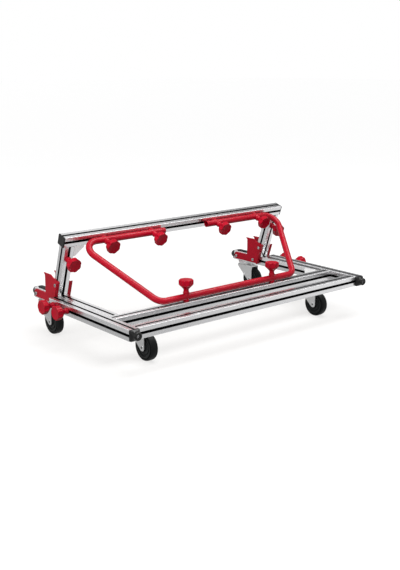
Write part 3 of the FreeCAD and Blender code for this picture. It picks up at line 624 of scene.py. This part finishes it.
ON_BRACE = ("knob_low", "knob_top")
SLEEVE = 30.2 * MM
WASHER = 0.2 * MM
knob_places = {}
for joint in frame["record"]["behaviour"]["joints"]:
    name = joint["name"].removesuffix("_turn")
    if not name.startswith("knob_"):
        continue
    axis = Vector(joint["axis"]).normalized()
    rise = SLEEVE if name.startswith(ON_BRACE) else WASHER
    seat = Vector(joint["pos_m"]) + axis * rise
    turn = axis.to_track_quat("Z", "Y").to_matrix().to_4x4()
    knob_places[name] = Matrix.Translation(seat) @ turn
knob_profile = rounded(KNOB_FORM)
for node, place in knob_places.items():
    piece = lathe(node + "_star", knob_profile, place, red_plastic, 16 * LOBES, lobed)
    stand_for(piece, node)
print("knobs", len(knob_places), "rings", len(knob_profile))

# %% [markdown]
# ## Casters
# The wheel is a moulded hub in a solid rubber tyre. Its side has a stepped ring and a
# groove before the tread. The axle is a hollow rivet, so its end is a dark hole. A wheel is
# the same on both sides, so only half of each profile is written and the rest is mirrored.

# %% Wheels and axles
TYRE_HALF = [
    (38.3, -15.0, 1), (40.0, -15.0), (40.8, -14.4), (41.6, -10.6), (43.2, -10.2), (44.0, -13.4),
    (46.0, -14.6), (48.4, -13.4), (49.8, -9.0), (50.0, -4.0),
]
HUB_HALF = [
    (5.05, -17.0, 1), (12.4, -17.0), (13.0, -16.4), (13.6, -9.6), (20.8, -9.4), (22.0, -12.8),
    (23.0, -13.6), (25.6, -13.6), (26.6, -12.4), (27.4, -9.2), (32.2, -9.0), (33.4, -14.4),
    (34.6, -15.0), (38.0, -15.0, 1),
]
AXLE_HALF = [(4.2, -22.2, 1), (6.0, -22.2), (6.9, -21.7), (7.0, -21.0, 1), (5.0, -21.0, 1)]
WHEEL_STEPS = 96
AXLE_STEPS = 40


def both_sides(half):
    """Closed profile of a wheel piece from the half on one side of its middle."""
    other = [(radius, -height, *sharp) for radius, height, *sharp in reversed(half)]
    return half + other + [half[0]]


WHEEL_PIECES = [
    ("tyre_", TYRE_HALF, tyre_rubber, WHEEL_STEPS, "tyre"),
    ("hub_", HUB_HALF, hub_plastic, WHEEL_STEPS, "hub_plastic"),
    ("axle_", AXLE_HALF, zinc, AXLE_STEPS, "bright_steel"),
]
SPIN = Matrix.Rotation(math.radians(90), 4, "Y")
for corner in CORNERS:
    place = Matrix.Translation(middle_of("tyre_" + corner)) @ SPIN
    for kind, half, material, steps, slot_name in WHEEL_PIECES:
        profile = rounded(both_sides(half))
        piece = lathe("%s%s_turned" % (kind, corner), profile, place, material, steps)
        stand_for(piece, kind + corner)
print("wheels", len(CORNERS))

# %% [markdown]
# ## Brace
# The brace is one bent tube. A poly line through its corners gets round bends from the
# Fillet Curve node, and Curve to Mesh sweeps a circle along it. Solidify then gives the
# open tube its wall. A Bezier curve with a bevel would be quicker to draw, but its bends
# aren't true arcs, and a bending machine makes true arcs.

# %% Brace tube in geometry nodes
def socket_id(tree, name):
    for item in tree.interface.items_tree:
        if item.item_type == "SOCKET" and item.in_out == "INPUT" and item.name == name:
            return item.identifier
    raise KeyError(name)


def tube_tree():
    """Tree that turns a poly line into a bent tube."""
    tree = bpy.data.node_groups.new("bent_tube", "GeometryNodeTree")
    face = tree.interface
    face.new_socket("Route", in_out="INPUT", socket_type="NodeSocketGeometry")
    face.new_socket("Tube radius", in_out="INPUT", socket_type="NodeSocketFloat")
    face.new_socket("Bend radius", in_out="INPUT", socket_type="NodeSocketFloat")
    face.new_socket("Finish", in_out="INPUT", socket_type="NodeSocketMaterial")
    face.new_socket("Tube", in_out="OUTPUT", socket_type="NodeSocketGeometry")
    entry = tree.nodes.new("NodeGroupInput")
    leave = tree.nodes.new("NodeGroupOutput")
    bends = tree.nodes.new("GeometryNodeFilletCurve")
    bends.mode = "POLY"
    bends.inputs["Count"].default_value = 20
    ring = tree.nodes.new("GeometryNodeCurvePrimitiveCircle")
    ring.inputs["Resolution"].default_value = 40
    sweep = tree.nodes.new("GeometryNodeCurveToMesh")
    real = tree.nodes.new("GeometryNodeRealizeInstances")
    paint = tree.nodes.new("GeometryNodeSetMaterial")
    link = tree.links.new
    link(entry.outputs["Route"], bends.inputs["Curve"])
    link(entry.outputs["Bend radius"], bends.inputs["Radius"])
    link(entry.outputs["Tube radius"], ring.inputs["Radius"])
    link(bends.outputs["Curve"], sweep.inputs["Curve"])
    link(ring.outputs["Curve"], sweep.inputs["Profile Curve"])
    link(sweep.outputs["Mesh"], real.inputs["Geometry"])
    link(real.outputs["Geometry"], paint.inputs["Geometry"])
    link(entry.outputs["Finish"], paint.inputs["Material"])
    link(paint.outputs["Geometry"], leave.inputs["Tube"])
    return tree


tube_nodes = tube_tree()
print("tube nodes", len(tube_nodes.nodes))

# %% The brace along its route
TUBE_RADIUS = 12.5 * MM
TUBE_WALL = 2.0 * MM
TUBE_BEND = 48.0 * MM
STANDOFF = 4.0 * MM
HEAD_RISE = 231 * MM
TUBE_END, TOP_CORNER, LOW_CORNER = 107 * MM, 500 * MM, 338 * MM
UP = Vector((0, -math.sin(LEAN), math.cos(LEAN)))
AHEAD = Vector((0, -math.cos(LEAN), -math.sin(LEAN)))
LOW_RUN = Vector((0, middle_of("middle_rail").y, RAIL_TOP + STANDOFF + TUBE_RADIUS))
HIGH_RUN = POST_FOOT + UP * HEAD_RISE + AHEAD * (HALF + STANDOFF + TUBE_RADIUS)
route = [HIGH_RUN + Vector((x, 0, 0)) for x in (-TUBE_END, -TOP_CORNER)]
route += [LOW_RUN + Vector((x, 0, 0)) for x in (-LOW_CORNER, LOW_CORNER)]
route += [HIGH_RUN + Vector((x, 0, 0)) for x in (TOP_CORNER, TUBE_END)]
curve = bpy.data.curves.new("brace_route", "CURVE")
curve.dimensions = "3D"
spline = curve.splines.new("POLY")
spline.points.add(len(route) - 1)
for point, spot in zip(spline.points, route):
    point.co = (*spot, 1.0)
tube = bpy.data.objects.new("brace_route", curve)
bpy.context.scene.collection.objects.link(tube)
bend = tube.modifiers.new("bent_tube", "NODES")
bend.node_group = tube_nodes
bend[socket_id(tube_nodes, "Tube radius")] = TUBE_RADIUS
bend[socket_id(tube_nodes, "Bend radius")] = TUBE_BEND
bend[socket_id(tube_nodes, "Finish")] = red_paint
tube = plain_mesh(tube, "brace_bent_tube")
wall = tube.modifiers.new("wall", "SOLIDIFY")
wall.thickness = TUBE_WALL
wall.offset = -1.0
tube = plain_mesh(tube, "brace_tube_swept")
shade(tube, 40)
stand_for(tube, "brace_tube")
print("tube faces", len(tube.data.polygons), "box", [round(v, 3) for v in tube.dimensions])

# %% [markdown]
# ## Sleeves
# Six knobs clamp the brace, and the stud of each passes through a short sleeve welded
# across the tube. The tube could be cut open for it with a Boolean, but the cut would be
# hidden inside the sleeve, so a turned ring is simply pushed through the tube.

# %% Knob sleeves on the brace
SLEEVE_FORM = [
    (4.5, 0.4, 1), (11.0, 0.4), (11.5, 0.9), (11.5, 29.4), (11.0, 30.0), (4.5, 30.0, 1), (4.5, 0.4, 1),
]
SLEEVE_STEPS = 40
sleeved = [name for name in knob_places if name.startswith(ON_BRACE)]
for name in sleeved:
    seat = knob_places[name] @ Matrix.Translation((0, 0, -SLEEVE))
    sleeve = lathe("sleeve_" + name, rounded(SLEEVE_FORM, 1), seat, red_paint, SLEEVE_STEPS)
    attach(sleeve, "brace")
print("sleeves", len(sleeved))

# %% [markdown]
# ## Bumpers
# The bumper is a square foot drawn in to a round nose with a bore for its screw. A bevelled
# cube joined to a cylinder would show a seam, so a grid of rings does it: each ring is a
# superellipse, and one power takes it from square to round as it nears the nose.

# %% Bumpers
BUMPER_RINGS = [
    (19.2, 9.0, 0.0), (20.0, 9.0, 0.8), (20.0, 9.0, 6.2), (19.4, 8.0, 7.4), (18.2, 5.5, 9.4),
    (16.8, 3.6, 12.0), (15.6, 2.4, 14.6), (15.0, 2.0, 17.0), (15.0, 2.0, 23.0), (14.4, 2.0, 25.8),
    (12.8, 2.0, 27.6), (10.8, 2.0, 28.0), (8.0, 2.0, 27.9), (7.0, 2.0, 27.2), (6.9, 2.0, 15.1),
    (3.6, 2.0, 15.0), (3.6, 2.0, 0.0),
]


BUMPER_STEPS = 64


def bumper_mesh(name, matrix):
    """Mesh of one bumper, placed."""
    work = bmesh.new()
    rings = []
    for half, power, height in BUMPER_RINGS:
        ring = []
        for i in range(BUMPER_STEPS):
            angle = 2 * math.pi * (i + 0.5) / BUMPER_STEPS
            c, s = math.cos(angle), math.sin(angle)
            reach = half / (abs(c) ** power + abs(s) ** power) ** (1 / power)
            ring.append(work.verts.new((reach * c * MM, reach * s * MM, height * MM)))
        rings.append(ring)
    rings.append(rings[0])
    for lower, upper in zip(rings, rings[1:]):
        for i in range(BUMPER_STEPS):
            j = (i + 1) % BUMPER_STEPS
            work.faces.new((lower[i], lower[j], upper[j], upper[i]))
    bmesh.ops.recalc_face_normals(work, faces=work.faces)
    work.transform(matrix)
    mesh = bpy.data.meshes.new(name)
    work.to_mesh(mesh)
    work.free()
    return mesh


def joined(name, meshes, material):
    """One object from several meshes."""
    work = bmesh.new()
    for mesh in meshes:
        work.from_mesh(mesh)
    mesh = bpy.data.meshes.new(name)
    work.to_mesh(mesh)
    work.free()
    mesh.materials.append(material)
    piece = bpy.data.objects.new(name, mesh)
    bpy.context.scene.collection.objects.link(piece)
    shade(piece, 40)
    return piece


TO_FRONT = Matrix.Rotation(math.radians(90), 4, "X")
TO_REAR = Matrix.Rotation(math.radians(-90), 4, "X")
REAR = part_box("inner_rail_left")[1].y
BUMPER_ENDS = (("front", "outer_rail_", FRONT, TO_FRONT), ("rear", "inner_rail_", REAR, TO_REAR))
for label, rail, end, turn in BUMPER_ENDS:
    meshes = []
    for i, side in enumerate(SIDES):
        middle = middle_of(rail + side)
        spot = Matrix.Translation((middle.x, end, middle.z)) @ turn
        meshes.append(bumper_mesh("%s_bumper_%d" % (label, i), spot))
    piece = joined(label + "_bumpers_drawn", meshes, black_plastic)
    stand_for(piece, label + "_bumpers")
    print(piece.name, len(piece.data.polygons), "faces")

# %% [markdown]
# ## Bolts and screws
# The same socket-head bolt holds every bracket and corner piece, and a screw with a taller
# head holds each bumper. One Geometry Nodes tree makes a head, chamfers it, cuts its
# hexagon socket and sets it on points that carry their own direction. Linked copies would
# do as well, but here one tree changes every head at once.

# %% Bolt heads in geometry nodes
HEAD_SIDES = 40
HEX_CORNER = 0.577  # corner radius of a hexagon over its width across the flats


def bolt_tree():
    """Tree that sets a socket head on every point, turned to its aim."""
    tree = bpy.data.node_groups.new("socket_heads", "GeometryNodeTree")
    face = tree.interface
    face.new_socket("Points", in_out="INPUT", socket_type="NodeSocketGeometry")
    for size in ("Head width", "Head height", "Chamfer", "Socket width", "Socket depth"):
        face.new_socket(size, in_out="INPUT", socket_type="NodeSocketFloat")
    face.new_socket("Finish", in_out="INPUT", socket_type="NodeSocketMaterial")
    face.new_socket("Heads", in_out="OUTPUT", socket_type="NodeSocketGeometry")
    entry = tree.nodes.new("NodeGroupInput").outputs
    leave = tree.nodes.new("NodeGroupOutput")

    def node(kind, settings=None, inputs=None):
        made = tree.nodes.new(kind)
        for key, value in (settings or {}).items():
            setattr(made, key, value)
        for key, value in (inputs or {}).items():
            if isinstance(value, bpy.types.NodeSocket):
                tree.links.new(value, made.inputs[key])
            else:
                made.inputs[key].default_value = value
        return made.outputs

    def maths(operation, first, second):
        return node("ShaderNodeMath", {"operation": operation}, {0: first, 1: second})[0]

    def lift(mesh, height):
        shift = node("ShaderNodeCombineXYZ", None, {2: height})[0]
        return node("GeometryNodeTransform", None, {"Geometry": mesh, "Translation": shift})[0]

    radius = maths("MULTIPLY", entry["Head width"], 0.5)
    straight = maths("SUBTRACT", entry["Head height"], entry["Chamfer"])
    side = node("GeometryNodeMeshCylinder", None, {
        "Vertices": HEAD_SIDES, "Radius": radius, "Depth": straight,
    })[0]
    side = lift(side, maths("MULTIPLY", straight, 0.5))
    top = maths("SUBTRACT", radius, entry["Chamfer"])
    rim = node("GeometryNodeMeshCone", None, {
        "Vertices": HEAD_SIDES, "Radius Top": top, "Radius Bottom": radius, "Depth": entry["Chamfer"],
    })[0]
    rim = lift(rim, straight)
    key_radius = maths("MULTIPLY", entry["Socket width"], HEX_CORNER)
    key = node("GeometryNodeMeshCylinder", None, {
        "Vertices": 6, "Radius": key_radius, "Depth": maths("MULTIPLY", entry["Socket depth"], 2.0),
    })[0]
    key = lift(key, entry["Head height"])
    body = node("GeometryNodeMeshBoolean", {"operation": "UNION", "solver": "EXACT"}, {"Mesh 2": side})
    body_node = body[0].node
    tree.links.new(rim, body_node.inputs["Mesh 2"])
    cut = node(
        "GeometryNodeMeshBoolean", {"operation": "DIFFERENCE", "solver": "EXACT"},
        {"Mesh 1": body[0], "Mesh 2": key},
    )[0]
    aim = node("GeometryNodeInputNamedAttribute", {"data_type": "FLOAT_VECTOR"}, {"Name": "aim"})[0]
    facing = node("FunctionNodeAlignRotationToVector", {"axis": "Z"}, {"Vector": aim})[0]
    heads = node(
        "GeometryNodeInstanceOnPoints", None,
        {"Points": entry["Points"], "Instance": cut, "Rotation": facing},
    )[0]
    real = node("GeometryNodeRealizeInstances", None, {"Geometry": heads})[0]
    done = node("GeometryNodeSetMaterial", None, {"Geometry": real, "Material": entry["Finish"]})[0]
    tree.links.new(done, leave.inputs["Heads"])
    return tree


heads_tree = bolt_tree()
print("bolt head nodes", len(heads_tree.nodes))

# %% [markdown]
# ## Places for the heads
# Every head needs a place and a direction. They could be typed in, but the solids already
# hold them. Each screw is one island of joined points. Of the three main directions of
# those points, its axis is the one round which the widest point is half a head away, and
# the head is at the wide end.

# %% Where each screw sits and points
def solids_of(node):
    """Lists of points, one for each separate solid of a node."""
    work = bmesh.new()
    work.from_mesh(nodes[node].data)
    bmesh.ops.remove_doubles(work, verts=work.verts, dist=0.01 * MM)
    seen = set()
    found = []
    for first in work.verts:
        if first in seen:
            continue
        seen.add(first)
        front = [first]
        island = []
        while front:
            vert = front.pop()
            island.append(vert.co.copy())
            for edge in vert.link_edges:
                other = edge.other_vert(vert)
                if other not in seen:
                    seen.add(other)
                    front.append(other)
        found.append(island)
    work.free()
    return found


HEAD_SLACK = 0.15 * MM
RIM_SHARE = 0.49


def seat_and_aim(points, head_width, head_height):
    """Axis of a screw from its points: the wide end is the head."""
    cloud = np.array([tuple(p) for p in points])
    middle = cloud.mean(axis=0)
    _, _, turns = np.linalg.svd(cloud - middle)
    for axis in turns:
        run = (cloud - middle) @ axis
        wide = np.linalg.norm(cloud - middle - np.outer(run, axis), axis=1)
        if abs(wide.max() * 2 - head_width) < HEAD_SLACK:
            break
    rim = run[wide > head_width * RIM_SHARE]
    if rim.mean() < run.mean():
        axis, run = -axis, -run
    return middle + axis * (run.max() - head_height), axis


print("bracket bolts", len(solids_of("bracket_bolts")))

# %% Heads on every screw
def bolt_heads(node, sizes):
    """Put heads on a node's solids and let them stand for it."""
    width, height = sizes["Head width"], sizes["Head height"]
    spots = [seat_and_aim(points, width, height) for points in solids_of(node)]
    mesh = bpy.data.meshes.new(node + "_spots")
    mesh.from_pydata([tuple(seat) for seat, _ in spots], [], [])
    aims = mesh.attributes.new("aim", "FLOAT_VECTOR", "POINT")
    for index, (_, axis) in enumerate(spots):
        aims.data[index].vector = axis
    piece = bpy.data.objects.new(node + "_spots", mesh)
    bpy.context.scene.collection.objects.link(piece)
    heads = piece.modifiers.new("socket_heads", "NODES")
    heads.node_group = heads_tree
    for name, value in sizes.items():
        heads[socket_id(heads_tree, name)] = value
    heads[socket_id(heads_tree, "Finish")] = bright_steel
    piece = plain_mesh(piece, node + "_heads")
    shade(piece, 25)
    stand_for(piece, node)
    return len(spots)


HEAD = {"Head width": 13 * MM, "Chamfer": 1.1 * MM, "Socket width": 6 * MM}
BOLT = HEAD | {"Head height": 5 * MM, "Socket depth": 3 * MM}
SCREW = HEAD | {"Head height": 8 * MM, "Socket depth": 4 * MM}
for node, sizes in (
    ("bracket_bolts", BOLT), ("gusset_screws", BOLT),
    ("front_bumper_screws", SCREW), ("rear_bumper_screws", SCREW),
):
    print(node, bolt_heads(node, sizes))

# %% [markdown]
# ## Fixings inside the slots
# Nuts and end screws sit deep in slots and bores, where at most a glint of them shows. They
# keep their solid shape and take the screws' steel, because rounder edges would not be seen.

# %% Steel for the fixings that stay inside the slots
def dress(node, material):
    """Give a solid one material."""
    mesh = nodes[node].data
    mesh.materials.clear()
    mesh.materials.append(material)


INNER = ("slot_nuts", "base_end_screws", "front_end_screws", "side_clamp_nuts", "brace_nuts")
for node in INNER:
    dress(node, bright_steel)
print("inner fixings", len(INNER))

# %% [markdown]
# ## Floor
# The photograph has a white ground with a faint soft shadow. A floor that is truly white
# would light the cart from below and wash out its dark undersides. So this floor glows for
# the camera only, looks dim to every other ray, and isn't mirrored in the metal.

# %% Floor
def studio_floor():
    bpy.ops.mesh.primitive_plane_add(size=80.0, location=(0, 0, 0))
    floor = bpy.context.active_object
    floor.name = "studio_floor"
    material, shader, place = start_finish("floor_paper", Roughness=0.9, Emission_Strength=1.0)
    cloud = place.noise(1.5, 2.0)
    far = place.node("ShaderNodeVectorMath", {"operation": "LENGTH"}, {0: place}, out="Value")
    feed(
        shader, place,
        Base_Color=cloud.tint((0.17, 0.17, 0.17, 1), (0.18, 0.18, 0.18, 1)),
        Emission_Color=far.spread(0.45, 1.3).tint((0.68, 0.672, 0.663, 1), (0.85, 0.85, 0.85, 1)),
    )
    seen = place.node("ShaderNodeLightPath", out="Is Camera Ray")
    dim = place.node("ShaderNodeBsdfDiffuse", None, {"Color": (0.12, 0.12, 0.12, 1)})
    bright = Wire(material.node_tree, shader.outputs[0])
    both = place.node("ShaderNodeMixShader", None, {0: seen, 1: dim, 2: bright})
    place.tree.links.new(both.socket, material.node_tree.nodes["Material Output"].inputs["Surface"])
    floor.data.materials.append(material)
    floor.visible_glossy = False
    return floor


print(studio_floor().name)

# %% [markdown]
# ## Lights
# A long soft box overhead draws one bright line along every tube, and two at the front and
# the left lift upright faces. Small bright lamps would break that line into beads. Only the
# overhead box is mirrored, because a rail that mirrors one of the others burns out to white
# when the cart is seen from behind.

# %% Soft boxes
def soft_box(name, place, target, size, power, mirrored):
    """Rectangular light; mirrored says whether shiny faces show it."""
    light = bpy.data.lights.new(name, "AREA")
    light.shape = "RECTANGLE"
    light.size, light.size_y = size
    light.energy = power
    lamp = bpy.data.objects.new(name, light)
    lamp.location = place
    aim = Vector(target) - Vector(place)
    lamp.rotation_euler = aim.to_track_quat("-Z", "Y").to_euler()
    lamp.visible_glossy = mirrored
    bpy.context.scene.collection.objects.link(lamp)
    return lamp


SOFT_BOXES = [
    ("top_box", (0.7, -0.5, 3.0), (0.7, -0.5, 0.0), (3.6, 1.6), 128.0, True),
    ("front_box", (-2.3, -2.2, 1.6), (0, 0, 0.2), (2.6, 2.6), 76.0, False),
    ("side_box", (-3.0, 0.2, 1.2), (0, 0.1, 0.2), (1.0, 1.0), 45.0, False),
]
for box in SOFT_BOXES:
    print(soft_box(*box).name)

# %% [markdown]
# ## Sky
# The metal mirrors the sky, so mirrored rays get a sky of their own: bands that go from
# grey below the horizon to white above it and dim again overhead, a bright patch low on
# the right, and a dark stretch at the back. An HDR picture could do this, but bands can be
# tuned one by one. All other light comes from a plainer sky that is brightest above and to
# the front left, and the camera sees white.

# %% Sky for the camera, for mirrors and for paint
world = bpy.data.worlds.new("studio_sky")
bpy.context.scene.world = world
world.use_nodes = True
sky = Wire(world.node_tree)
aim_x, aim_y, aim_z = sky.node("ShaderNodeTexCoord", out="Generated").axes()
BANDS = [
    (-1.0, 0.72), (-0.64, 0.70), (-0.45, 0.52), (-0.34, 0.44), (-0.26, 0.45),
    (-0.16, 0.58), (-0.05, 0.80), (0.04, 0.92), (0.30, 1.0), (0.50, 0.95), (0.72, 0.66), (1.0, 0.58),
]
stops = [((z + 1) / 2, (level, level, level, 1)) for z, level in BANDS]
bands = aim_z.node("ShaderNodeValToRGB", {"stops": stops}, {0: aim_z * 0.5 + 0.5})
glow = aim_x.spread(0.58, 0.76) * (1.0 - aim_y.spread(-0.2, 0.1)) * (1.0 - aim_z.spread(-0.12, 0.05))
bands = glow.tint(bands, (1.0, 1.0, 1.0, 1))
slide = aim_x * 0.77 - aim_y * 0.64 - (aim_z - 0.26) * 0.4
dusk = slide.spread(-0.09, 0.06) * aim_z.spread(-0.02, 0.10) * (1.0 - aim_z.spread(0.70, 0.85))
bands = (dusk * aim_y.spread(-0.1, 0.2) * 0.85).tint(bands, (0.10, 0.10, 0.105, 1))
glossy = sky.node("ShaderNodeLightPath", out="Is Glossy Ray")
seen = sky.node("ShaderNodeLightPath", out="Is Camera Ray")
overhead = (aim_z * 0.80 - aim_y * 0.40 - aim_x * 0.42).spread(-0.25, 0.85)
fill = glossy.tint(overhead.tint((0.06, 0.06, 0.06, 1), (0.74, 0.74, 0.74, 1)), bands)
backdrop = seen.tint(fill, (1.0, 1.0, 1.0, 1.0))
background = world.node_tree.nodes["Background"]
world.node_tree.links.new(backdrop.socket, background.inputs["Color"])
background.inputs["Strength"].default_value = 1.0
bpy.context.scene.view_settings.view_transform = "Standard"
print("sky bands", len(BANDS))

# %% [markdown]
# ## Size
# Dressing must not change the size of the cart.
